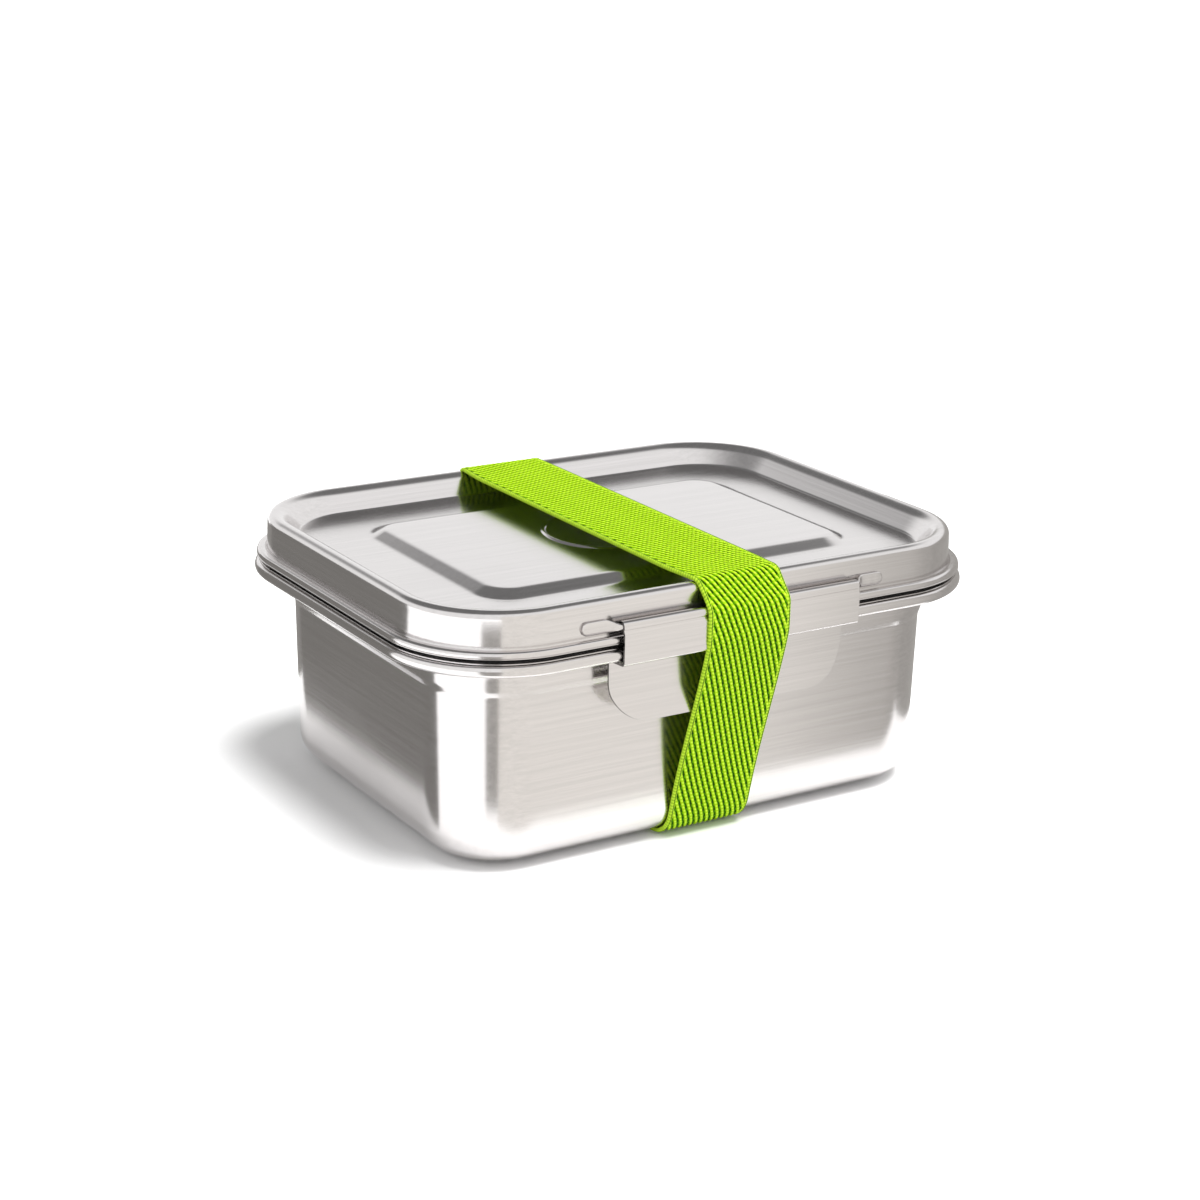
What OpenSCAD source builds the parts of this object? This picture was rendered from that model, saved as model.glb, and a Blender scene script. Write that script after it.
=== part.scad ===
// Steel lunch box: drawn tub, pressed lid with a seal, two clips on hinge wires, one elastic band.
// Origin: below the middle of the box, on the underside of the band. X runs along the long side,
// -Y is the side of the front clip, Z is up. All sizes in mm.

/* [Box] */
// length over the rim
box_len = 170; // [150:1:190]
// width over the rim
box_wid = 130; // [115:1:145]
// corner radius of the rim seen from above
rim_r = 31; // [29:0.5:33]
// height of the tub without its band
tub_h = 57.5; // [54:0.5:70]
// thickness of the pressed steel sheet
sheet_t = 0.6; // [0.5:0.1:0.8]
// slope of the walls, as the inset of the wall's foot below its top
wall_draft = 1.5; // [0.5:0.1:3]

/* [Lid] */
// height of the lid's ridge above the tub's top lip
ridge_h = 12.1; // [11:0.1:13]
// depth of the flat panel below the ridge
panel_drop = 5.6; // [5:0.1:6]
// height of the raised field on the panel
field_h = 1.8; // [1:0.1:2.5]
// radius of the raised ring in the middle of the lid
emboss_r = 17.5; // [12:0.5:22]

/* [Clips] */
// width of a clip
clip_w = 70.8; // [60:0.2:76]
// offset of both clips from the middle of the long sides
clip_x = -0.9; // [-3:0.1:3]
// radius of a hinge wire
wire_r = 0.8; // [0.7:0.05:0.9]
// radial clearance of a clip's barrel on its wire
barrel_gap = 0.06; // [0.03:0.01:0.1]

/* [Band] */
// width of the elastic band
band_w = 25.5; // [22:0.5:32]
// thickness of the elastic band
band_t = 1.2; // [1:0.1:1.4]
// offset of the band from the middle of the long sides
band_x = -0.8; // [-6:0.2:6]

/* [Display] */
// sub-part to show

/* [Hidden] */
$fn = 64;
steel = [0.74, 0.73, 0.71];
silicone = [0.2, 0.2, 0.2];
lime = [0.5, 0.75, 0.05];
// the tub stands this far above the floor, on the band
foot = band_t + 0.3;
// corner centres of the rim, and of the raised field
corner_x = box_len / 2 - rim_r;
corner_y = box_wid / 2 - rim_r;
field_r = 14;
field_x = box_len / 2 - 28.5 - field_r;
field_y = box_wid / 2 - 28.5 - field_r;
// insets of the wall, heights of the rim and the lid
wall_top = 10.1;
wall_foot = wall_top + wall_draft;
lip_z = foot + tub_h;
ridge_z = lip_z + ridge_h;
panel_z = ridge_z - panel_drop;
// radius of the bend between wall and base, at the middle of the sheet
base_r = 7.7;
// bend of the wall into the rim
flare_r = 4.7;
flare_in = wall_top - flare_r;
flare_z = lip_z - 7.8;
// a clip's pivot, the edge of its tab, and the sheet of its barrel
hinge_y = box_wid / 2 - 0.8;
hinge_z = lip_z + 5.5;
tab_z = lip_z - 21.5;
tab_r = 11.5;
curl_r = wire_r + barrel_gap + sheet_t / 2;
// inset of the lid's skirt where the hinge wires are welded on
weld_in = 3.45;
// the band is in four lengths, this far apart, and the top one ends at this Y
band_cut = 0.3;
top_end = 57.5;
// middle of the band's thickness, on the lid and round the wall's foot
band_z = ridge_z + band_t / 2 + 0.3;
foot_y = box_wid / 2 - wall_foot - base_r;
foot_z = foot + sheet_t / 2 + base_r;
foot_r = base_r + (sheet_t + band_t) / 2 + 0.3;
// the band's corners at a clip's fold, at its barrel and on the ridge
band_low = [box_wid / 2 + 2.25, lip_z - 2];
band_mid = [box_wid / 2 + 2.25, lip_z + 6.4];
band_high = [box_wid / 2 - 4.1, band_z];
// the angle at which the band leaves the wall's foot
lean = let (d = band_low - [foot_y, foot_z]) atan2(d[1], d[0]) - acos(foot_r / norm(d));
// stitches of the band's join, on its back length
stitch_rows = [14, 22];
stitch_n = 9;
stitch_step = 2.7;

// points of an arc about c, from angle a0 to a1
function arc(c, r, a0, a1, n = 8) =
  [for (i = [0:n]) let (a = a0 + (a1 - a0) * i / n) c + r * [cos(a), sin(a)]];
// direction of a path at its point i
function dir(p, i) = let (d = p[min(i + 1, len(p) - 1)] - p[max(i - 1, 0)]) d / norm(d);
// point i of a path, moved sideways by s
function beside(p, i, s) = let (d = dir(p, i)) p[i] + s * [-d[1], d[0]];
// outline of a strip of thickness t along a path
function strip(p, t) = concat(
  [for (i = [0:len(p) - 1]) beside(p, i, t / 2)],
  [for (i = [len(p) - 1:-1:0]) beside(p, i, -t / 2)]);
// a corner at b between a and c, rounded with radius r
function rounded(a, b, c, r, n = 6) =
  let (u = (a - b) / norm(a - b), v = (c - b) / norm(c - b),
       half = acos(u * v) / 2,
       m = b + (u + v) / norm(u + v) * r / sin(half),
       p = b + u * r / tan(half) - m, q = b + v * r / tan(half) - m,
       a0 = atan2(p[1], p[0]), turn = atan2(q[1], q[0]) - a0,
       sweep = turn > 180 ? turn - 360 : turn < -180 ? turn + 360 : turn)
  arc(m, r, a0, a0 + sweep, n);

// turns a section, drawn as distance from the corner axis and height, round a rounded rectangle
module round_box(cx, cy) {
  for (k = [0:3]) {
    sx = (k == 0 || k == 3) ? 1 : -1;
    sy = k < 2 ? 1 : -1;
    side = k % 2 == 0 ? cy : cx;
    translate([sx * cx, sy * cy, 0])
      rotate([0, 0, 90 * k]) {
        rotate_extrude(angle = 90) children();
        rotate([90, 0, 0]) linear_extrude(2 * side) children();
      }
  }
}

// flat plate with round corners, between two heights
module plate(cx, cy, r, z0, z1) {
  translate([0, 0, z0]) linear_extrude(z1 - z0) {
    square([2 * (cx + r), 2 * cy], center = true);
    square([2 * cx, 2 * (cy + r)], center = true);
    for (x = [-cx, cx]) {
      for (y = [-cy, cy]) {
        translate([x, y]) circle(r);
      }
    }
  }
}

// point of a section, given by its inset from the rim's edge and its height
function at(inset, z) = [rim_r - inset, z];

module tub_section() {
  flare = arc(at(flare_in, flare_z), flare_r, 180, 105);
  wall = concat(
    [at(rim_r - 6, foot + sheet_t / 2)],
    arc(at(wall_foot + base_r, foot_z), base_r, -90, -2),
    [at(wall_top + 0.45, lip_z - 11.6), at(wall_top + 0.1, lip_z - 10.6)],
    flare);
  polygon(strip(wall, sheet_t));
  // rim, rolled outwards, with a fine lip along its top
  polygon(concat(
    flare,
    arc(at(1.65, lip_z - 1.85), 1.65, -90, 72, 9),
    [at(1.75, lip_z - 0.4), at(1.3, lip_z - 0.3), at(1.3, lip_z)],
    arc(at(wall_top - 4, lip_z - 4.3), 4.3, 90, 180),
    [at(wall_top + 0.3, flare_z)]));
}

module tub() {
  color(steel) {
    round_box(corner_x, corner_y) tub_section();
    plate(corner_x, corner_y, 8, foot, foot + sheet_t);
  }
}

module lid_section() {
  sheet = concat(
    [at(3.55, lip_z + 1.2)],
    arc(at(5.6, ridge_z - 2), 1.7, 0, 90),
    arc(at(6.7, ridge_z - 1.8), 1.5, 90, 142),
    arc(at(12.4, panel_z + 1), 1.3, -38, -90, 5),
    [at(17, panel_z - sheet_t / 2)]);
  polygon(strip(sheet, sheet_t));
  // flange: a rounded edge over a fine hem, and a groove at the foot of the skirt
  polygon(concat(
    [at(3.8, lip_z + 0.8), at(0.9, lip_z + 0.8), at(0.6, lip_z + 0.95), at(0.6, lip_z + 1.2),
     at(0.85, lip_z + 1.35)],
    arc(at(1.7, lip_z + 1.8), 1.2, -18, 90, 6),
    [at(2.9, lip_z + 2.95), at(3.2, lip_z + 2.65), at(3.8, lip_z + 2.65)]));
}

module field_section() {
  z = panel_z - sheet_t / 2;
  polygon(strip([[field_r + 1, z], [field_r - 0.3, z + 0.05], [field_r - 1.3, z + 0.3],
                 [field_r - 4, z + field_h - 0.2], [field_r - 5, z + field_h],
                 [field_r - 7, z + field_h]], sheet_t));
}

module lid() {
  top = panel_z + field_h;
  color(steel) {
    round_box(corner_x, corner_y) lid_section();
    difference() {
      plate(corner_x, corner_y, 14.5, panel_z - sheet_t, panel_z);
      plate(field_x, field_y, field_r + 0.5, panel_z - 1, panel_z + 1);
    }
    round_box(field_x, field_y) field_section();
    plate(field_x, field_y, field_r - 6, top - sheet_t, top);
    translate([0, 0, top - 0.25])
      rotate_extrude() translate([emboss_r, 0]) circle(0.65);
  }
}

// silicone ring in the channel under the ridge
module seal() {
  color(silicone) round_box(corner_x, corner_y)
    polygon([at(4.1, lip_z + 0.1), at(4.4, ridge_z - 2.2), at(5.2, ridge_z - 0.8),
             at(6.4, ridge_z - 0.75), at(8.2, ridge_z - 3.4), at(8.7, lip_z + 5),
             at(8.2, lip_z + 0.1)]);
}

// extrudes a section, drawn as distance out from the box's middle and height, along the front side
module along_front(width) {
  rotate([0, 0, -90]) rotate([90, 0, 0]) linear_extrude(width, center = true) children();
}

// barrel of a clip, open where the sheet leaves it
module barrel_section() {
  translate([hinge_y, hinge_z]) difference() {
    circle(curl_r + sheet_t / 2);
    circle(curl_r - sheet_t / 2);
    rotate(-125) square([3, 0.7]);
  }
}

module clip_section() {
  face = box_wid / 2 + 0.65;
  shelf_z = lip_z - 4.1;
  tab_y = box_wid / 2 - 6.3;
  start = [hinge_y, hinge_z] + curl_r * [cos(-35), sin(-35)];
  polygon(strip(concat(
    [start],
    rounded(start, [face, hinge_z - 1.9], [face, shelf_z], 0.8, 3),
    rounded([face, hinge_z], [face, shelf_z], [tab_y, shelf_z - 0.5], 0.9),
    rounded([face, shelf_z], [tab_y, shelf_z - 0.5], [tab_y, lip_z - 14.3], 0.9),
    rounded([tab_y, shelf_z], [tab_y, lip_z - 14.3], [tab_y + 2, tab_z], 2, 3),
    [[tab_y + 2, tab_z]]), sheet_t));
}

// outline of a clip seen from the front, with the lower corners of its tab rounded
module clip_outline() {
  translate([-clip_w / 2, tab_z + tab_r]) square([clip_w, hinge_z + 3 - tab_z - tab_r]);
  translate([tab_r - clip_w / 2, tab_z]) square([clip_w - 2 * tab_r, tab_r + 1]);
  for (x = [tab_r - clip_w / 2, clip_w / 2 - tab_r]) {
    translate([x, tab_z + tab_r]) circle(tab_r);
  }
}

module front_clip() {
  color(steel) translate([clip_x, 0, 0]) {
    along_front(clip_w) barrel_section();
    intersection() {
      along_front(clip_w) clip_section();
      rotate([90, 0, 0]) linear_extrude(box_wid) clip_outline();
    }
  }
}

module rear_clip() {
  mirror([0, 1, 0]) front_clip();
}

// wire that a clip turns on, with its ends flattened and welded to the lid's skirt
module front_hinge_wire() {
  half = clip_w / 2 + 0.4;
  pad_h = 3.6;
  color(steel) translate([clip_x, 0, 0]) {
    translate([0, -hinge_y, hinge_z]) rotate([0, 90, 0])
      cylinder(r = wire_r, h = 2 * half, center = true);
    for (side = [-1, 1]) {
      translate([side * (half + 6.4), -(box_wid / 2 - weld_in + 0.5), hinge_z])
        cube([6.6, 1.1, pad_h], center = true);
      hull() {
        translate([side * (half - 0.1), -hinge_y, hinge_z]) rotate([0, 90, 0])
          cylinder(r = wire_r, h = 0.3, center = true, $fn = 32);
        translate([side * (half + 3.3), -(box_wid / 2 - weld_in + 0.5), hinge_z])
          cube([0.5, 1.1, pad_h], center = true);
      }
    }
  }
}

module rear_hinge_wire() {
  mirror([0, 1, 0]) front_hinge_wire();
}

// the elastic band, in four lengths: over the lid, under the tub, and down each side
module band_top() {
  color(lime) translate([band_x, 0, band_z])
    cube([band_w, 2 * top_end, band_t], center = true);
}

module band_base() {
  half = arc([foot_y, foot_z], foot_r, -90, lean);
  back = [for (i = [len(half) - 1:-1:0]) [-half[i][0], half[i][1]]];
  color(lime) translate([band_x, 0, 0])
    along_front(band_w) polygon(strip(concat(back, half), band_t));
}

module band_side() {
  foot_end = [foot_y, foot_z] + foot_r * [cos(lean), sin(lean)];
  up = (band_low - foot_end) / norm(band_low - foot_end);
  along_front(band_w)
    polygon(strip(concat(
      [foot_end + band_cut * up],
      rounded(foot_end, band_low, band_mid, 12),
      rounded(band_low, band_mid, band_high, 3),
      rounded(band_mid, band_high, [top_end, band_z], 3.2),
      [[top_end + band_cut, band_z]]), band_t));
}

module band_front() {
  color(lime) translate([band_x, 0, 0]) band_side();
}

module band_rear() {
  color(lime) translate([band_x, 0, 0]) mirror([0, 1, 0]) band_side();
}

// two rows of stitches across the back length, where the band's ends are sewn together
module band_stitching() {
  foot_end = [foot_y, foot_z] + foot_r * [cos(lean), sin(lean)];
  color(lime) translate([band_x, foot_end[0], foot_end[1]]) rotate([lean, 0, 0])
    for (row = stitch_rows) {
      for (i = [0:stitch_n - 1]) {
        translate([(i - (stitch_n - 1) / 2) * stitch_step, band_t / 2, row])
          cube([0.6, 0.4, 2.2], center = true);
      }
    }
}

tub();
lid();
seal();
front_clip();
rear_clip();
front_hinge_wire();
rear_hinge_wire();
band_top();
band_base();
band_front();
band_rear();
band_stitching();
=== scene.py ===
import bpy
import bmesh
import math
from mathutils import Matrix, Vector


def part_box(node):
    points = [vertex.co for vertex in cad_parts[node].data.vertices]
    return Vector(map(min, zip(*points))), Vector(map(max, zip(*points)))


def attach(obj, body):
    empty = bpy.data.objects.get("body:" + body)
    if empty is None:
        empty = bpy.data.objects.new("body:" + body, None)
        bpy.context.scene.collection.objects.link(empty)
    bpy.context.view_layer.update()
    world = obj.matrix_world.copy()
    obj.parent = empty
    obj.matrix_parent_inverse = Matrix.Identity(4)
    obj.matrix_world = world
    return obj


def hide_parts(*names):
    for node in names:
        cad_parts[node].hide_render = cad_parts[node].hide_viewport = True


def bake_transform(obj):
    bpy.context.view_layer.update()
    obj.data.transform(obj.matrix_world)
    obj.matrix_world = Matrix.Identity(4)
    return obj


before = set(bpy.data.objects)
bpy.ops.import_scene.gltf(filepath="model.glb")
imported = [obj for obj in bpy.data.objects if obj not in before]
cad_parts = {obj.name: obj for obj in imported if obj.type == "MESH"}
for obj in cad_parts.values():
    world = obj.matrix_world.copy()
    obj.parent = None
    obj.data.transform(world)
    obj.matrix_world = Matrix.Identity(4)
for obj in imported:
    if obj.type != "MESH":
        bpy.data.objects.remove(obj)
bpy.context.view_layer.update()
mm = 0.001


def boxOf(node):
    return [[x / mm for x in corner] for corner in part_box(node)]


# heights of the steel parts in mm, above the floor
lipZ = boxOf("tub")[1][2]
footZ = boxOf("tub")[0][2]
ridgeZ = boxOf("lid")[1][2]
rim = {"halfLength": boxOf("tub")[1][0], "halfWidth": boxOf("tub")[1][1], "cornerR": 31,
       "sheet": 0.6, "steps": 26}
corner = (rim["halfLength"] - rim["cornerR"], rim["halfWidth"] - rim["cornerR"])

# camera and light

studio = {
    "eye": (-0.34255, -0.54006, 0.25400),
    "right": (0.849201, -0.527695, 0.019894),
    "up": (0.146201, 0.271142, 0.951371),
    "lens": 74.43,
    "floorSize": 14,
    # the sky is bright all round and dark in a patch overhead, which leans to the rear
    "skyLow": 1.08, "skyHigh": 0.20, "skyFrom": 0.66, "skyTo": 0.83, "patch": (0, 0.35, 0.937),
    "sunPower": 3.8, "sunAngle": 26, "sunFrom": (0.11, -0.28, 1.0),
}
# grey cards beside the box, which only reflections see; a card's tone fades from the first to the
# second between the two places in x that fade gives
fade = (0.005, 0.10)
cards = {
    "leftCard": {"middle": (-0.093, 0.046), "half": 0.075, "height": 0.072, "heading": 90,
                 "tones": (0.24, 0.24)},
    "rearCard": {"middle": (-0.060, 0.110), "half": 0.034, "height": 0.060, "heading": 0,
                 "tones": (0.32, 0.32)},
    "cornerCard": {"middle": (-0.082, -0.084), "half": 0.011, "height": 0.060, "heading": 151,
                   "tones": (0.46, 0.46)},
    "frontCard": {"middle": (0.040, -0.078), "half": 0.115, "height": 0.085, "heading": 0,
                  "tones": (1.02, 0.50)},
    "endCard": {"middle": (0.112, -0.028), "half": 0.048, "height": 0.085, "heading": 90,
                "tones": (0.45, 0.45)},
}


def aimed(start, target=(0, 0, 0.04)):
    return (Vector(target) - Vector(start)).to_track_quat("-Z", "Y").to_matrix().to_4x4()


def addCamera():
    right, up = Vector(studio["right"]), Vector(studio["up"])
    turn = Matrix((right, up, right.cross(up))).transposed().to_4x4()
    data = bpy.data.cameras.new("camera")
    data.lens, data.sensor_width = studio["lens"], 36
    data.clip_start, data.clip_end = 0.01, 50
    camera = bpy.data.objects.new("camera", data)
    camera.matrix_world = Matrix.Translation(studio["eye"]) @ turn
    bpy.context.collection.objects.link(camera)
    bpy.context.scene.camera = camera


def addSun():
    data = bpy.data.lights.new("sun", "SUN")
    data.energy, data.angle = studio["sunPower"], math.radians(studio["sunAngle"])
    lamp = bpy.data.objects.new("sun", data)
    start = studio["sunFrom"]
    lamp.matrix_world = Matrix.Translation(start) @ aimed(start)
    lamp.visible_glossy = False
    bpy.context.collection.objects.link(lamp)


addCamera()
addSun()
bpy.context.scene.view_settings.view_transform = "Standard"
print("camera and lights set")

# shader maths


class Sock:
    # one output socket, with the operators that the materials use
    def __init__(self, shader, out):
        self.shader, self.out = shader, out

    def op(self, kind, *rest):
        return self.shader.add("Math", {"operation": kind}, dict(enumerate((self,) + rest)))

    def __add__(self, other):
        return self.op("ADD", other)

    def __sub__(self, other):
        return self.op("SUBTRACT", other)

    def __rsub__(self, other):
        return self.shader.add("Math", {"operation": "SUBTRACT"}, {0: other, 1: self})

    def __mul__(self, other):
        return self.op("MULTIPLY", other)

    def __truediv__(self, other):
        return self.op("DIVIDE", other)

    __radd__, __rmul__ = __add__, __mul__

    def smooth(self, low, high):
        # 0 below low, 1 above high, and eased between
        settings = {"interpolation_type": "SMOOTHSTEP"}
        return self.shader.add("MapRange", settings, {"Value": self, "From Min": low, "From Max": high})


class Shader:
    def __init__(self, tree):
        self.tree = tree

    def add(self, kind, settings=None, sockets=None, out=0):
        made = self.tree.nodes.new("ShaderNode" + kind)
        for key, value in (settings or {}).items():
            setattr(made, key, value)
        for key, value in (sockets or {}).items():
            self.feed(made.inputs[key], value)
        return Sock(self, made.outputs[out])

    def feed(self, socket, value):
        if isinstance(value, Sock):
            self.tree.links.new(value.out, socket)
        else:
            socket.default_value = value

    def mix(self, factor, low, high):
        # colours: low where factor is 0, high where it is 1
        return self.add("Mix", {"data_type": "RGBA"}, {0: factor, 6: low, 7: high}, 2)

    def parts(self, vector):
        split = self.add("SeparateXYZ", None, {0: vector})
        return split, Sock(self, split.out.node.outputs[1]), Sock(self, split.out.node.outputs[2])

    def noise(self, vector, scale, detail=2):
        return self.add("TexNoise", None, {"Vector": vector, "Scale": scale, "Detail": detail})


def newMaterial(name, constants):
    # a material, its shader helper and its surface node, with the even values set on the sockets
    material = bpy.data.materials.new(name)
    material.use_nodes = True
    surface = material.node_tree.nodes["Principled BSDF"]
    for key, value in constants.items():
        surface.inputs[key].default_value = value
    return material, Shader(material.node_tree), surface


def rgb(red, green, blue):
    return (red, green, blue, 1)


steelLook = {
    "colour": (0.725, 0.702, 0.698), "dark": (0.660, 0.639, 0.634),
    # the near-black colour of the cut edges is a painted shade, drawing a dark outline round the clips'
    # sheet
    "cutEdgeShade": (0.17, 0.165, 0.16), "roughness": 0.18, "streak": 0.035, "grainBump": 0.10,
    "fineGrain": (40, 5200), "broadGrain": (10, 1100),   # waves per metre, along and across the brushing
}


def brushedSteel(name, roughness, bump):
    material, sh, surface = newMaterial(name, {"Metallic": 1.0})
    coords = sh.add("TexCoord", None, None, 3)
    facing = sh.add("TexCoord", None, None, 1)
    endWall = sh.parts(facing)[0].op("ABSOLUTE").smooth(0.6, 0.8)
    grains = []
    for along, across in (steelLook["fineGrain"], steelLook["broadGrain"]):
        runs = []
        for scale in ((along, across, across), (across, along, across)):
            stretched = sh.add("VectorMath", {"operation": "MULTIPLY"}, {0: coords, 1: scale})
            runs.append(sh.noise(stretched, 1, 3))
        grains.append(runs[0] * (1 - endWall) + runs[1] * endWall)
    fine, broad = grains
    handled = sh.noise(coords, 35, 4).smooth(0.5, 0.75)       # faint cloudy marks of handling
    tone = (fine * 0.5 + broad * 0.5).smooth(0.30, 0.70)
    cut = sh.add("Attribute", {"attribute_name": "cut"}, None, 2)
    brushed = sh.mix(tone, rgb(*steelLook["dark"]), rgb(*steelLook["colour"]))
    # faces on the cut edges get the near-black painted shade in place of brushed steel
    sh.feed(surface.inputs["Base Color"], sh.mix(cut, brushed, rgb(*steelLook["cutEdgeShade"])))
    sh.feed(surface.inputs["Roughness"],
            (fine - 0.5) * steelLook["streak"] * 2 + (broad - 0.5) * steelLook["streak"]
            + handled * 0.03 + roughness)
    relief = sh.add("Bump", None, {"Strength": bump, "Distance": 0.00004, "Height": fine})
    sh.feed(surface.inputs["Normal"], relief)
    return material


def seamedSilicone(name):
    material, sh, surface = newMaterial(name, {"Specular IOR Level": 0.3})
    coords = sh.add("TexCoord", None, None, 3)
    dust = sh.noise(coords, 400, 4)
    # near-black silicone: partly the seal's own dark colour, partly a painted shade for the shaded gap
    # between lid and tub
    sh.feed(surface.inputs["Base Color"],
            sh.mix(dust, rgb(0.030, 0.030, 0.031), rgb(0.055, 0.055, 0.056)))
    sh.feed(surface.inputs["Roughness"], dust * 0.2 + 0.42)
    relief = sh.add("Bump", None, {"Strength": 0.2, "Distance": 0.00005, "Height": dust})
    sh.feed(surface.inputs["Normal"], relief)
    return material


# the band's weave, in mm: ribs that cross its length at a slant, with beads of yarn along each
weave = {
    "pitch": 1.69, "slope": 0.44, "ribHalf": 0.61, "beadStep": 1.1, "dashStep": 2.45,
    "selvage": 1.1, "ribHeight": 0.30, "beadHeight": 0.10,
    # lime is the yarn's own colour; the lighter bead colour is a painted highlight on the beads' tops; the
    # near-black and the dim green are painted shade in the sunk ground between the ribs
    "lime": (0.270, 0.480, 0.002), "bead": (0.50, 0.70, 0.045), "gap": (0.003, 0.043, 0.001),
    "warpInShade": (0.070, 0.25, 0.001),
}


def webbing(name, width):
    material, sh, surface = newMaterial(name, {"Specular IOR Level": 0.05})
    uv = sh.add("UVMap", {"uv_map": "strip"})
    across, along, _ = sh.parts(uv)
    u, v = across * 1000, along * 1000
    phase = (u - v * weave["slope"]) / weave["pitch"]
    ribNumber = phase.op("FLOOR")
    fromRib = (phase.op("FRACT") - 0.5).op("ABSOLUTE") * 2
    rib = 1 - fromRib.smooth(weave["ribHalf"] - 0.16, weave["ribHalf"] + 0.10)
    stagger = ribNumber * 0.37
    beadAt = ((v / weave["beadStep"] + stagger).op("FRACT") - 0.5).op("ABSOLUTE") * 2
    beadR = (beadAt * beadAt + fromRib * fromRib * 2.2).op("SQRT")
    bead = 1 - beadR.smooth(0.25, 0.95)
    dash = ((v / weave["dashStep"] + stagger).op("FRACT") - 0.5).op("ABSOLUTE") * 2
    bridge = dash.smooth(0.58, 0.75)
    edge = u.op("ABSOLUTE").smooth(width / 2 - weave["selvage"] - 0.1, width / 2 - weave["selvage"] + 0.1)
    twist = ((v / 0.9 + u * 0.4).op("FRACT") - 0.5).op("ABSOLUTE") * 2
    fuzz = sh.noise(uv, 2600, 3)
    # the sunk ground is painted dark as shade, near-black except at the bridges
    ground = sh.mix(bridge, rgb(*weave["gap"]), rgb(*weave["warpInShade"]))
    # the beads on the ribs are painted lighter, a painted highlight
    yarn = sh.mix(bead, rgb(*weave["lime"]), rgb(*weave["bead"]))
    body = sh.mix(rib, ground, yarn)
    # the selvage is two twisted cords side by side, painted lighter on the twists' crests and darker in
    # their troughs, with a near-black painted shade line between the cords
    between = (width / 2 - weave["selvage"] / 2 - u.op("ABSOLUTE")).op("ABSOLUTE").smooth(0.04, 0.2)
    cordTone = sh.mix(twist * 0.7 + 0.3, rgb(*weave["warpInShade"]), rgb(*weave["bead"]))
    cordTone = sh.mix(between, rgb(*weave["gap"]), cordTone)
    shade = sh.mix(edge, body, cordTone)
    sh.feed(surface.inputs["Base Color"],
            sh.mix((fuzz - 0.5).op("ABSOLUTE") * 0.5, shade, rgb(*weave["lime"])))
    sh.feed(surface.inputs["Roughness"], rib * -0.12 + fuzz * 0.1 + 0.8)
    height = rib * 0.5 + bead * 0.35 + fuzz * 0.15
    relief = sh.add("Bump", None, {"Strength": 0.9, "Distance": 0.00022, "Height": height})
    sh.feed(surface.inputs["Normal"], relief)
    return material


def twistedThread(name):
    material, sh, surface = newMaterial(name, {"Sheen Weight": 0.2})
    coords = sh.add("TexCoord", None, None, 3)
    plies = sh.add("TexWave", {"bands_direction": "DIAGONAL"},
                   {"Vector": coords, "Scale": 900, "Distortion": 0.3}, 1)
    # the thread is painted lighter on the plies' crests and darker between them, painted highlight and
    # shade along the twist
    sh.feed(surface.inputs["Base Color"],
            sh.mix(plies, rgb(0.16, 0.38, 0.01), rgb(0.42, 0.66, 0.05)))
    sh.feed(surface.inputs["Roughness"], plies * -0.15 + 0.75)
    relief = sh.add("Bump", None, {"Strength": 0.7, "Distance": 0.00008, "Height": plies})
    sh.feed(surface.inputs["Normal"], relief)
    return material


def paperFloor(name):
    material, sh, surface = newMaterial(name, {"Roughness": 0.85})
    fibre = sh.noise(sh.add("TexCoord", None, None, 3), 900, 3)
    sh.feed(surface.inputs["Base Color"],
            sh.mix(fibre, rgb(0.90, 0.90, 0.90), rgb(0.93, 0.93, 0.93)))
    return material


def setSky():
    world = bpy.data.worlds.new("studioRoom")
    bpy.context.scene.world = world
    world.use_nodes = True
    sh = Shader(world.node_tree)
    direction = sh.add("TexCoord", None, None, 0)
    overhead = sh.add("VectorMath", {"operation": "DOT_PRODUCT"}, {0: direction, 1: studio["patch"]}, 1)
    dark = overhead.smooth(studio["skyFrom"], studio["skyTo"])
    low, high = (rgb(*[studio[key]] * 3) for key in ("skyLow", "skyHigh"))
    sh.feed(world.node_tree.nodes["Background"].inputs["Color"], sh.mix(dark, low, high))


setSky()
print("materials ready")

# outlines, in mm, as (distance, height) points


def arc(cx, cz, r, a0, a1, steps=8):
    angles = [math.radians(a0 + (a1 - a0) * i / steps) for i in range(steps + 1)]
    return [(cx + r * math.cos(a), cz + r * math.sin(a)) for a in angles]


def rounded(points, radii, steps=6):
    # a polyline with its inner corners rounded
    path = [points[0]]
    for before, here, after, r in zip(points, points[1:], points[2:], radii):
        a, b, c = Vector(before), Vector(here), Vector(after)
        u, v = (a - b).normalized(), (c - b).normalized()
        half = u.angle(v) / 2
        centre = b + (u + v).normalized() * r / math.sin(half)
        start, stop = b + u * r / math.tan(half) - centre, b + v * r / math.tan(half) - centre
        a0 = math.degrees(math.atan2(start.y, start.x))
        sweep = math.degrees(math.atan2(stop.y, stop.x)) - a0
        sweep = (sweep + 180) % 360 - 180
        path += arc(centre.x, centre.y, r, a0, a0 + sweep, steps)
    return path + [points[-1]]


def supported(path, margin=0.35):
    # points near both ends of each long flat, so that shading stays flat there
    out = [path[0]]
    for a, b in zip(path, path[1:]):
        length = math.dist(a, b)
        if length > 5 * margin:
            for share in (margin / length, 1 - margin / length):
                out.append((a[0] + (b[0] - a[0]) * share, a[1] + (b[1] - a[1]) * share))
        out.append(b)
    return out


def turned(path):
    # insets from the rim's edge become distances from the corner's axis
    return [(rim["cornerR"] - inset, z) for inset, z in path]


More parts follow.
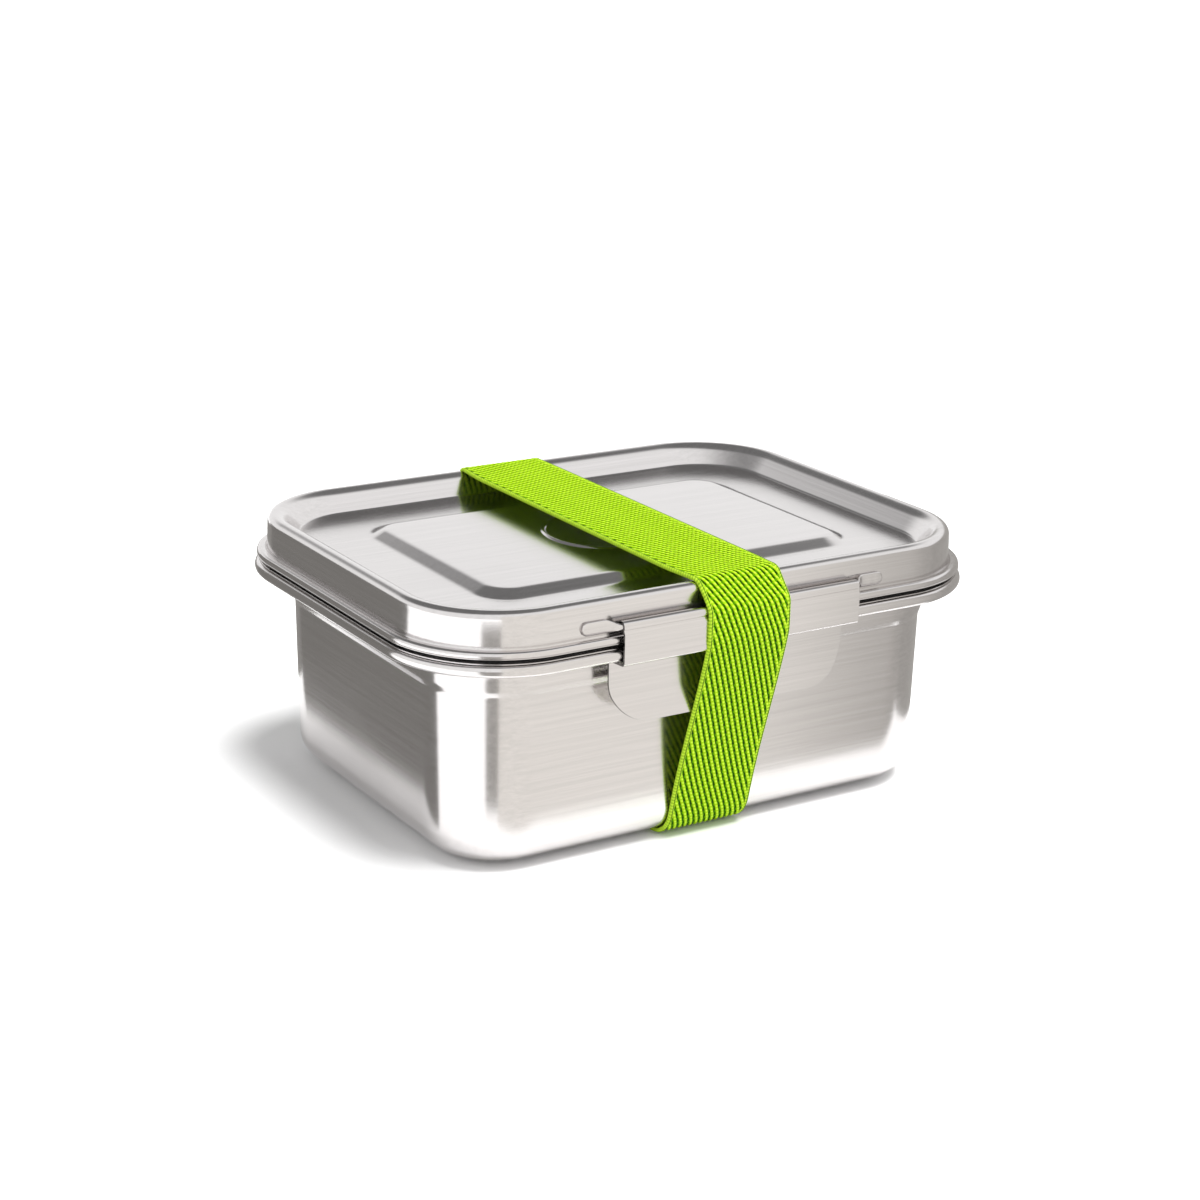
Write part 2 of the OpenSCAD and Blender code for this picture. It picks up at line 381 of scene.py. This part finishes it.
def ringMesh(bm, outline, centre, steps):
    # turns an outline round one corner, runs it along half of each side, and mirrors it twice
    verts = [bm.verts.new((centre[0] + r, centre[1], z)) for r, z in outline]
    first = [bm.edges.new(pair) for pair in zip(verts, verts[1:])]
    spun = bmesh.ops.spin(bm, geom=verts + first, cent=(centre[0], centre[1], 0), axis=(0, 0, 1),
                          angle=math.pi / 2, steps=steps, use_merge=False)
    last = [e for e in spun["geom_last"] if isinstance(e, bmesh.types.BMEdge)]
    for edges, way in ((first, Vector((0, -1, 0)) * centre[1]), (last, Vector((-1, 0, 0)) * centre[0])):
        for share in (0.02, 0.98):
            run = bmesh.ops.extrude_edge_only(bm, edges=edges)["geom"]
            bmesh.ops.translate(bm, vec=way * share,
                                verts=[v for v in run if isinstance(v, bmesh.types.BMVert)])
            edges = [e for e in run if isinstance(e, bmesh.types.BMEdge)]
    for axis in "XY":
        bmesh.ops.mirror(bm, geom=bm.verts[:] + bm.edges[:] + bm.faces[:], axis=axis, merge_dist=0.001)


def loopAt(bm, z, r=None):
    # the open edges at height z, or those of them that a circle of radius r holds
    found = [e for e in bm.edges if e.is_boundary and all(abs(v.co.z - z) < 0.01 for v in e.verts)]
    return [e for e in found if r is None or (e.verts[0].co.xy.length < r + 0.01)]


def finished(bm, name, nodes, material, body=None, angle=32, recalc=True):
    # mm to metres, then mesh, shading, material and its place in the frame
    bmesh.ops.scale(bm, vec=(mm, mm, mm), verts=bm.verts)
    if recalc:
        bmesh.ops.recalc_face_normals(bm, faces=bm.faces)
    mesh = bpy.data.meshes.new(name)
    bm.to_mesh(mesh)
    bm.free()
    mesh.shade_smooth()
    mesh.set_sharp_from_angle(angle=math.radians(angle))
    mesh.materials.append(material)
    piece = bpy.data.objects.new(name, mesh)
    bpy.context.collection.objects.link(piece)
    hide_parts(*nodes)
    if body:
        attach(piece, body)
    print(name, len(mesh.polygons), "faces")
    return piece


sheetSteel = brushedSteel("sheetSteel", steelLook["roughness"], steelLook["grainBump"])
drawnSteel = brushedSteel("drawnSteel", 0.2, 0.3)

# tub

tub = {
    "wallFoot": 11.6, "wallTop": 10.2, "baseR": 7.7, "stepLow": -11.6, "stepHigh": -10.6,
    "flareIn": 5.4, "flareZ": -7.8, "flareR": 4.7, "beadR": 1.65, "floorInset": 24,
}


def tubOutline():
    half = rim["sheet"] / 2
    bendIn, bendZ = tub["wallFoot"] + tub["baseR"], footZ + half + tub["baseR"]
    bead, top = tub["beadR"], tub["wallTop"]
    skin = [(tub["floorInset"], footZ)]
    skin += [(bendIn - x, z) for x, z in arc(0, bendZ, tub["baseR"] + half, -90, -2, 14)]
    skin += [(top + 0.38, lipZ + tub["stepLow"] - 0.5), (top + 0.2, lipZ + tub["stepLow"]),
             (top - 0.12, lipZ + tub["stepHigh"]), (top - 0.3, lipZ + tub["stepHigh"] + 0.6)]
    skin += [(tub["flareIn"] - x, z) for x, z in
             arc(0, lipZ + tub["flareZ"], tub["flareR"] - half, 178, 96, 10)]
    skin += [(bead - x, z) for x, z in arc(0, lipZ - 0.2 - bead, bead, -94, 74, 14)]
    skin += [(1.62, lipZ - 0.62), (1.42, lipZ - 0.5), (1.3, lipZ - 0.36), (1.3, lipZ - 0.1),
             (1.4, lipZ)]
    skin += [(6.1 - x, z) for x, z in arc(0, lipZ - 4.3, 4.3, 90, 180, 9)]
    skin += [(top + 0.3, lipZ + tub["stepHigh"]), (top + 0.65, lipZ + tub["stepLow"])]
    skin += [(bendIn - x, z) for x, z in arc(0, bendZ, tub["baseR"] - half, -2, -90, 10)]
    skin += [(tub["floorInset"], footZ + rim["sheet"])]
    return turned(supported(skin))


def addTub():
    bm = bmesh.new()
    ringMesh(bm, tubOutline(), corner, rim["steps"])
    for z in (footZ, footZ + rim["sheet"]):
        bmesh.ops.contextual_create(bm, geom=loopAt(bm, z))
    return finished(bm, "tubShell", ["tub"], sheetSteel, "tub")


addTub()

# lid

lid = {
    "panelDrop": 5.6, "crownIn": 5.58, "crownR": 4.0, "slant": 38,
    "fieldRise": 1.8, "fieldInset": 28.0, "fieldR": 10.5,
    "ringR": 17.5, "ringRise": 0.42, "ringHalf": 0.75,
}
panelZ = ridgeZ - lid["panelDrop"]
fieldCorner = tuple(half - lid["fieldInset"] - lid["fieldR"] for half in
                    (rim["halfLength"], rim["halfWidth"]))


def lidOutline():
    # the underside from the panel outwards, the hemmed edge, and the top side back to the panel
    t, r, slant = rim["sheet"], lid["crownR"], lid["slant"]
    under = [(17, panelZ - t)] + [(12.4 + x, z) for x, z in arc(0, panelZ + 1, 1 + t, -90, slant - 180, 6)]
    under += [(lid["crownIn"] + x, z) for x, z in arc(0, ridgeZ - r, r - t, slant, 90, 10)]
    under += [(lid["crownIn"] + x, z) for x, z in arc(0, ridgeZ - 2, 2 - t, 90, 180, 8)]
    under += [(3.9, lipZ + 1.5), (3.8, lipZ + 1.12), (0.98, lipZ + 1.12)]
    hem = [(0.72, lipZ + 1.17), (0.6, lipZ + 1.28), (0.6, lipZ + 1.42), (0.78, lipZ + 1.53),
           (0.82, lipZ + 1.6)]
    edge = [(1.75 + x, z) for x, z in arc(0, lipZ + 1.95, 1.12, 196, 92, 12)]
    foot = [(2.75, lipZ + 3.0), (3.0, lipZ + 2.78), (3.12, lipZ + 2.62), (3.26, lipZ + 2.8),
            (3.36, lipZ + 3.1)]
    crown = [(lid["crownIn"] + x, z) for x, z in arc(0, ridgeZ - 2, 2.0, 180, 90, 12)][:-1]
    crown += [(lid["crownIn"] + x, z) for x, z in arc(0, ridgeZ - r, r, 90, slant, 12)]
    crown += [(12.4 + x, z) for x, z in arc(0, panelZ + 1, 1.0, slant - 180, -90, 8)]
    return turned(supported(under + hem + edge + foot + crown + [(17, panelZ)]))


def fieldOutline(drop):
    # the raised field's slope, from the panel inwards
    r, z, rise = lid["fieldR"], panelZ - drop, lid["fieldRise"]
    return [(r + 1, z), (r + 0.2, z + 0.01), (r - 0.5, z + 0.1), (r - 1.2, z + 0.32),
            (r - 3.4, z + rise - 0.32), (r - 4.1, z + rise - 0.1), (r - 4.8, z + rise - 0.01),
            (r - 5.6, z + rise)]


def addLid():
    bm = bmesh.new()
    ringMesh(bm, lidOutline(), corner, rim["steps"])
    for drop in (0, rim["sheet"]):
        z, top = panelZ - drop, panelZ - drop + lid["fieldRise"]
        outer = loopAt(bm, z)
        part = bmesh.new()
        ringMesh(part, fieldOutline(drop), fieldCorner, rim["steps"])
        mesh = bpy.data.meshes.new("fieldPart")
        part.to_mesh(mesh)
        part.free()
        known = set(bm.edges)
        bm.from_mesh(mesh)
        bpy.data.meshes.remove(mesh)
        inner = [e for e in loopAt(bm, z) if e not in known]
        bmesh.ops.bridge_loops(bm, edges=outer + inner)
        # raised ring in the middle, turned as a bead
        r, half, rise = lid["ringR"], lid["ringHalf"], lid["ringRise"]
        bead = [(r + half + 0.4, top)]
        bead += [(r + half * math.cos(a), top + rise * (1 - math.cos(2 * a)) / 2)
                 for a in [math.pi * i / 12 for i in range(13)]]
        bead += [(r - half - 0.4, top)]
        verts = [bm.verts.new((x, 0, h)) for x, h in bead]
        edges = [bm.edges.new(pair) for pair in zip(verts, verts[1:])]
        bmesh.ops.spin(bm, geom=verts + edges, cent=(0, 0, 0), axis=(0, 0, 1), angle=2 * math.pi,
                       steps=4 * rim["steps"] + 16, use_merge=True)
        reach = {e: e.verts[0].co.xy.length for e in loopAt(bm, top)}
        outerLoop = [e for e in reach if r + half < reach[e] < r + half + 1]
        fieldLoop = [e for e in reach if reach[e] > r + half + 2]
        bmesh.ops.bridge_loops(bm, edges=fieldLoop + outerLoop)
        bmesh.ops.contextual_create(bm, geom=loopAt(bm, top, r - half))
    return finished(bm, "lidPressing", ["lid"], sheetSteel, "lid")


addLid()

# gasket, in the channel under the ridge

gasket = {"lift": 0.15}


def addGasket():
    low, high = lipZ + gasket["lift"], ridgeZ - 0.95
    shape = [(6.2, low), (4.25, low), (4.45, ridgeZ - 2.2), (5.3, high), (6.4, high),
             (8.0, ridgeZ - 3.6), (8.5, lipZ + 5), (8.1, low), (6.9, low), (6.55, low + 0.5),
             (6.2, low)]
    bm = bmesh.new()
    ringMesh(bm, turned(rounded(shape, [0.5, 0.5, 0.4, 0.4, 0.5, 0.8, 0.6, 0.2, 0.15], 4)), corner,
             rim["steps"])
    bmesh.ops.remove_doubles(bm, verts=bm.verts, dist=0.01)
    finished(bm, "gasket", ["seal"], seamedSilicone("sealSilicone"), "lid", 50)


addGasket()

# clips and their hinge wires

clipBox = boxOf("front_clip")
clip = {
    "low": clipBox[0][2], "left": clipBox[0][0], "right": clipBox[1][0],
    "pivotY": rim["halfWidth"] - 0.8, "pivotZ": lipZ + 5.5, "curlR": 1.16, "sheet": rim["sheet"],
    "face": rim["halfWidth"] + 0.65, "shelfDrop": 4.1, "tabY": rim["halfWidth"] - 6.3,
    "flareDrop": 14.3, "flareOut": 2.0, "tabR": 11.5, "across": 60, "edge": 0.14,
}
wire = {
    "r": 0.8, "length": clip["right"] - clip["left"] + 0.8, "neck": 3.3, "tongue": 6.6,
    "thick": 1.15, "tall": 3.4, "weldY": rim["halfWidth"] - 2.95, "around": 28,
}


def clipPath():
    # middle of the sheet, as (distance out, height), from the barrel's lip to the tab's end
    c = clip
    barrel = arc(c["pivotY"], c["pivotZ"], c["curlR"], 232, -35, 26)
    shelf = lipZ - c["shelfDrop"]
    plate = rounded([barrel[-1], (c["face"], c["pivotZ"] - 1.9), (c["face"], shelf),
                     (c["tabY"], shelf - 0.5), (c["tabY"], lipZ - c["flareDrop"]),
                     (c["tabY"] + c["flareOut"], c["low"])], [0.8, 0.9, 0.9, 4], 7)
    path = barrel[:-1] + supported(plate, 0.3)
    # rows at even turns of the tab's round corners
    turn = c["low"] + c["tabR"]
    rows = []
    for i in range(19):
        z = c["low"] + c["tabR"] * (1 - math.cos(math.radians(90 - 5 * i)))
        a, b = next(pair for pair in zip(path[40:], path[41:])
                    if pair[0][1] >= z - 1e-6 >= pair[1][1] - 2e-6)
        share = (a[1] - z) / max(a[1] - b[1], 1e-9)
        rows.append((a[0] + (b[0] - a[0]) * share, z))
    return [p for i, p in enumerate(path) if i < 40 or p[1] > turn + 0.05] + rows


def narrowing(z):
    # how far the tab's round corners cut in at height z
    reach = min(max(z - clip["low"], 0), clip["tabR"])
    return clip["tabR"] - math.sqrt(max(clip["tabR"] ** 2 - (clip["tabR"] - reach) ** 2, 0))


def addClip(name, node, side):
    # side is -1 for the front and 1 for the rear
    path = clipPath()
    bm = bmesh.new()
    rows = len(path) - 1
    bmesh.ops.create_grid(bm, x_segments=clip["across"], y_segments=rows, size=1)
    middle, half = (clip["left"] + clip["right"]) / 2, (clip["right"] - clip["left"]) / 2
    for v in bm.verts:
        row = round((v.co.y + 1) / 2 * rows)
        y, z = path[row]
        v.co = (middle + v.co.x * (half - narrowing(z)), side * y, z)
    bmesh.ops.recalc_face_normals(bm, faces=bm.faces)
    onPlate = Vector((middle, side * clip["face"], lipZ))
    outward = min(bm.faces, key=lambda f: (f.calc_center_median() - onPlate).length)
    if outward.normal.y * side < 0:
        bmesh.ops.reverse_faces(bm, faces=bm.faces)
    bm.normal_update()
    for v in bm.verts:
        v.co += v.normal * clip["sheet"] / 2
    oneSide = set(bm.verts)
    bmesh.ops.solidify(bm, geom=bm.faces[:] + bm.edges[:] + bm.verts[:], thickness=clip["sheet"])
    # the cut-edge faces, which the steel paints near-black as a painted shade outline
    cut = bm.faces.layers.float.new("cut")
    for f in bm.faces:
        f[cut] = 0 < sum(v in oneSide for v in f.verts) < len(f.verts)     # joins the two sides
    piece = finished(bm, name, [node], sheetSteel, angle=40)
    edge = piece.modifiers.new("edge", "BEVEL")
    edge.width, edge.segments, edge.limit_method = clip["edge"] * mm, 2, "ANGLE"
    edge.angle_limit = math.radians(55)
    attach(piece, node)
    return piece


def addHingeWire(name, node, side):
    bm = bmesh.new()
    end = wire["length"] / 2
    middle = (clip["left"] + clip["right"]) / 2
    # stations from the middle outwards: x, distance out, half thickness, half height
    stations = [(x, clip["pivotY"], wire["r"], wire["r"]) for x in (0, end - 0.4)]
    for i in range(1, 9):
        share = i / 8
        ease = share * share * (3 - 2 * share)
        stations.append((end - 0.4 + wire["neck"] * share,
                         clip["pivotY"] + (wire["weldY"] - clip["pivotY"]) * ease,
                         wire["r"] + (wire["thick"] / 2 - wire["r"]) * ease,
                         wire["r"] + (wire["tall"] / 2 - wire["r"]) * ease))
    start = end - 0.4 + wire["neck"]
    for i in range(1, 15):
        share = i / 14
        fall = math.sqrt(max(1 - max((share - 0.72) / 0.28, 0) ** 2, 0.012))
        dip = 0.10 * math.sin(share * 9.5) ** 2
        stations.append((start + wire["tongue"] * (1 - (1 - share) ** 1.15), wire["weldY"],
                         wire["thick"] / 2 * (0.6 + 0.4 * fall) - dip * 0.5, wire["tall"] / 2 * fall))
    ring = bmesh.ops.create_circle(bm, cap_ends=False, segments=wire["around"], radius=1)["verts"]
    shape = [v.co.copy() for v in ring]
    edges = list({e for v in ring for e in v.link_edges})
    current = ring
    for number, (x, out, thick, tall) in enumerate(stations):
        if number:
            grown = bmesh.ops.extrude_edge_only(bm, edges=edges)["geom"]
            fresh = [v for v in grown if isinstance(v, bmesh.types.BMVert)]
            edges = [e for e in grown if isinstance(e, bmesh.types.BMEdge)
                     and all(v in fresh for v in e.verts)]
            # keep the order of the section's points
            current = [next(w for w in fresh if any(e.other_vert(w) is v for e in w.link_edges))
                       for v in current]
        for v, p in zip(current, shape):
            v.co = (x, out + p.x * thick, clip["pivotZ"] + p.y * tall)
    bmesh.ops.contextual_create(bm, geom=edges)
    bmesh.ops.mirror(bm, geom=bm.verts[:] + bm.edges[:] + bm.faces[:], axis="X", merge_dist=0.001)
    bmesh.ops.scale(bm, vec=(1, side, 1), verts=bm.verts)
    bmesh.ops.translate(bm, vec=(middle, 0, 0), verts=bm.verts)
    finished(bm, name, [node], drawnSteel, "lid", 50)


addClip("frontClip", "front_clip", -1)
addClip("rearClip", "rear_clip", 1)
addHingeWire("frontHingeWire", "front_hinge_wire", -1)
addHingeWire("rearHingeWire", "rear_hinge_wire", 1)

# the elastic band

band = {
    "thick": boxOf("band_top")[1][2] - boxOf("band_top")[0][2],
    "width": boxOf("band_top")[1][0] - boxOf("band_top")[0][0],
    "standOff": 0.9, "cellAcross": 0.25, "cellAlong": 0.38,
    "frontBend": 4.3, "rearBend": 6.3, "midLift": 6.2, "lowDrop": 2.0, "cutZ": 50.0, "cutY": 50.0,
    # centre and width of the band at places along one side, from the top down
    "topCentre": -0.6, "clipCentre": 0.0, "footCentre": -1.9, "baseCentre": -1.5,
    "topWidth": 26.2, "clipWidth": 24.4, "footWidth": 24.6, "baseWidth": 25.2,
}


def sidePath(bendIn):
    # middle of the band's thickness, from the middle of the base to the middle of the top
    t = band["thick"]
    face = rim["halfWidth"] + band["standOff"] + t / 2
    top = ridgeZ + t / 2 + 0.12
    bendY = rim["halfWidth"] - tub["wallFoot"] - tub["baseR"]
    bendZ = footZ + rim["sheet"] / 2 + tub["baseR"]
    r = bendZ - t / 2
    low = (face, lipZ - band["lowDrop"])
    gap = Vector(low) - Vector((bendY, bendZ))
    lean = math.degrees(math.atan2(gap.y, gap.x)) - math.degrees(math.acos(r / gap.length))
    foot = arc(bendY, bendZ, r, -90, lean, 24)
    high = (face, lipZ + band["midLift"])
    side = rounded([foot[-1], low, high, (rim["halfWidth"] - bendIn, top), (0, top)], [12, 3.2, 3.4], 12)
    return [(0, t / 2)] + foot[:-1] + side


def measured(path):
    marks = [0]
    for a, b in zip(path, path[1:]):
        marks.append(marks[-1] + math.dist(a, b))
    return marks


rearHalf, frontHalf = sidePath(band["rearBend"]), sidePath(band["frontBend"])
loop = rearHalf + [(-y, z) for y, z in frontHalf[-2::-1]]     # base, rear, top, front, base
loopMarks = measured(loop)


def pointOn(s):
    # the point of the loop at length s
    s = min(max(s, 0), loopMarks[-1])
    i = next(i for i in range(1, len(loopMarks)) if loopMarks[i] >= s - 1e-9)
    share = (s - loopMarks[i - 1]) / (loopMarks[i] - loopMarks[i - 1])
    a, b = Vector(loop[i - 1]), Vector(loop[i])
    return a.lerp(b, share)


def lengthWhere(test):
    # the first length along the loop at which the test holds, to a fortieth of its step
    return next(loopMarks[i] + (loopMarks[i + 1] - loopMarks[i]) * k / 40
                for i in range(len(loop) - 1) for k in range(40)
                if test(Vector(loop[i]).lerp(Vector(loop[i + 1]), k / 40)))


total = loopMarks[-1]
sideMarks = [0, lengthWhere(lambda p: p.x > 40 and p.y > 12), lengthWhere(lambda p: p.y > lipZ - 3),
             lengthWhere(lambda p: p.y > lipZ + 8), lengthWhere(lambda p: p.y > ridgeZ and p.x < 45)]
places = ("base", "foot", "clip", "clip", "top")


def spread(kind, s):
    # the band's centre or width at length s, eased between the places that are known
    s = min(s, total - s)
    values = [band[place + kind] for place in places]
    for i in range(1, len(sideMarks)):
        if s <= sideMarks[i]:
            share = (s - sideMarks[i - 1]) / (sideMarks[i] - sideMarks[i - 1])
            share = share * share * (3 - 2 * share)
            return values[i - 1] + (values[i] - values[i - 1]) * share
    return values[-1]


def eased(x, low, high):
    x = min(max((x - low) / (high - low), 0), 1)
    return x * x * (3 - 2 * x)


def relief(u, v):
    # how far the outer face stands above the sunk ground of the weave, in mm
    phase = (u - v * weave["slope"]) / weave["pitch"]
    fromRib = abs(phase % 1 - 0.5) * 2
    rib = 1 - eased(fromRib, weave["ribHalf"] - 0.35, weave["ribHalf"] + 0.25)
    bead = 0.5 - 0.5 * math.cos(2 * math.pi * (v / weave["beadStep"] + math.floor(phase) * 0.37))
    fromEdge = band["width"] / 2 - abs(u)
    if fromEdge < weave["selvage"]:
        cord = math.sqrt(max(1 - (fromEdge / weave["selvage"] * 2 - 1) ** 2, 0))
        return weave["ribHeight"] * 1.25 * cord - 0.25 * (1 - cord)
    return rib * (weave["ribHeight"] + weave["beadHeight"] * bead)


def addBand(name, s0, s1, nodes):
    bm = bmesh.new()
    columns = round(band["width"] / band["cellAcross"])
    rows = max(4, round((s1 - s0) / band["cellAlong"]))
    bmesh.ops.create_grid(bm, x_segments=columns, y_segments=rows, size=1)
    grid = {v: (v.co.x * band["width"] / 2, s0 + (v.co.y + 1) / 2 * (s1 - s0)) for v in bm.verts}
    flow = []
    for row in range(rows + 1):
        s = s0 + (s1 - s0) * row / rows
        here = pointOn(s)
        ahead = (pointOn(s + 0.5) - pointOn(s - 0.5)).normalized()
        flow.append((here, Vector((ahead.y, -ahead.x)), spread("Centre", s), spread("Width", s)))
    outer = list(bm.verts)
    cap = bmesh.ops.extrude_face_region(bm, geom=bm.faces[:])["geom"]
    inner = [v for v in cap if isinstance(v, bmesh.types.BMVert)]
    spots = {v: grid[v] for v in outer}
    back = {}
    ground = band["thick"] / 2 - weave["ribHeight"] - weave["beadHeight"]
    for v in inner:
        u, s = v.co.x * band["width"] / 2, s0 + (v.co.y + 1) / 2 * (s1 - s0)
        back[v] = (u, s)
    for sheetSide, group in ((1, spots), (-1, back)):
        for v, (u, s) in group.items():
            here, out, centre, width = flow[round((s - s0) / (s1 - s0) * rows)]
            rise = relief(u, s)
            if sheetSide < 0:
                depth = 0.1 - band["thick"] / 2 - min(rise * 0.35, 0.12) * 0.5      # shallow inner relief
            else:
                depth = ground + rise
            y, z = here + out * depth
            v.co = (centre + u * width / band["width"], y, z)
    layer = bm.loops.layers.uv.new("strip")
    lookup = dict(spots)
    lookup.update(back)
    for face in bm.faces:
        for loopCorner in face.loops:
            u, s = lookup[loopCorner.vert]
            loopCorner[layer].uv = (u * mm, s * mm)
    piece = finished(bm, name, nodes, bandWeb, angle=60)
    band["width"] * mm
    (s1 - s0) * mm
    return piece


bandWeb = webbing("bandWebbing", band["width"])
rearLow = lengthWhere(lambda p: p.y > band["cutZ"])
rearTop = lengthWhere(lambda p: p.y > ridgeZ and p.x < band["cutY"])
frontLow = total - rearLow
frontUpper = addBand("bandFrontUpper", rearTop, frontLow, ["band_top", "band_front"])
frontLower = addBand("bandFrontLower", frontLow, total, ["band_base"])
rearUpper = addBand("bandRearUpper", rearLow, rearTop, ["band_top"])
rearLower = addBand("bandRearLower", 0, rearLow, ["band_rear"])


def giveWay(upper, lower):
    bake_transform(upper)
    for piece in lower:
        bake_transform(piece)


# stitches of the join, on the rear length
stitch = {"rows": (14, 22), "count": 9, "step": 2.7, "long": 2.3, "wide": 0.7, "high": 0.45}


def addStitches():
    bm = bmesh.new()
    lowSpot = lengthWhere(lambda p: p.x > 40 and p.y > 7.3)
    for row in stitch["rows"]:
        s = lowSpot + row
        here, ahead = pointOn(s), (pointOn(s + 0.5) - pointOn(s - 0.5)).normalized()
        lean = math.atan2(ahead.y, -ahead.x) - math.pi / 2
        for i in range(stitch["count"]):
            made = bmesh.ops.create_uvsphere(bm, u_segments=10, v_segments=8, radius=0.5)["verts"]
            bmesh.ops.scale(bm, vec=(stitch["wide"], stitch["high"], stitch["long"]), verts=made)
            x = spread("Centre", s) + (i - (stitch["count"] - 1) / 2) * stitch["step"]
            out = here + Vector((ahead.y, -ahead.x)) * band["thick"] / 2
            place = Matrix.Translation((x, out.x, out.y)) @ Matrix.Rotation(lean, 4, "X")
            bmesh.ops.transform(bm, matrix=place, verts=made)
    return finished(bm, "bandStitches", ["band_stitching"], twistedThread("stitchThread"))


stitches = addStitches()
giveWay(frontUpper, [frontLower])
giveWay(rearUpper, [rearLower, stitches])
print("band laid")

# floor


def addFloor():
    bm = bmesh.new()
    bmesh.ops.create_grid(bm, x_segments=4, y_segments=4, size=studio["floorSize"] / 2)
    mesh = bpy.data.meshes.new("floor")
    bm.to_mesh(mesh)
    bm.free()
    mesh.materials.append(paperFloor("floorPaper"))
    floor = bpy.data.objects.new("floor", mesh)
    bpy.context.collection.objects.link(floor)


def addCard(name, middle, half, height, heading, tones):
    bm = bmesh.new()
    bmesh.ops.create_grid(bm, x_segments=2, y_segments=2, size=1)
    bmesh.ops.scale(bm, vec=(half, height / 2, 1), verts=bm.verts)
    place = Matrix.Translation((*middle, height / 2)) @ Matrix.Rotation(math.radians(heading), 4, "Z")
    bmesh.ops.transform(bm, matrix=place @ Matrix.Rotation(math.pi / 2, 4, "X"), verts=bm.verts)
    mesh = bpy.data.meshes.new(name)
    bm.to_mesh(mesh)
    bm.free()
    material, sh, surface = newMaterial(name, {"Base Color": rgb(0, 0, 0), "Specular IOR Level": 0,
                                               "Emission Strength": 1.0})
    across, _, _ = sh.parts(sh.add("TexCoord", None, None, 3))
    left, right = (rgb(tone, tone * 0.97, tone * 0.92) for tone in tones)
    sh.feed(surface.inputs["Emission Color"], sh.mix(across.smooth(*fade), left, right))
    mesh.materials.append(material)
    card = bpy.data.objects.new(name, mesh)
    card.visible_camera = card.visible_diffuse = card.visible_shadow = False
    bpy.context.collection.objects.link(card)


for cardName, settings in cards.items():
    addCard(cardName, **settings)
addFloor()
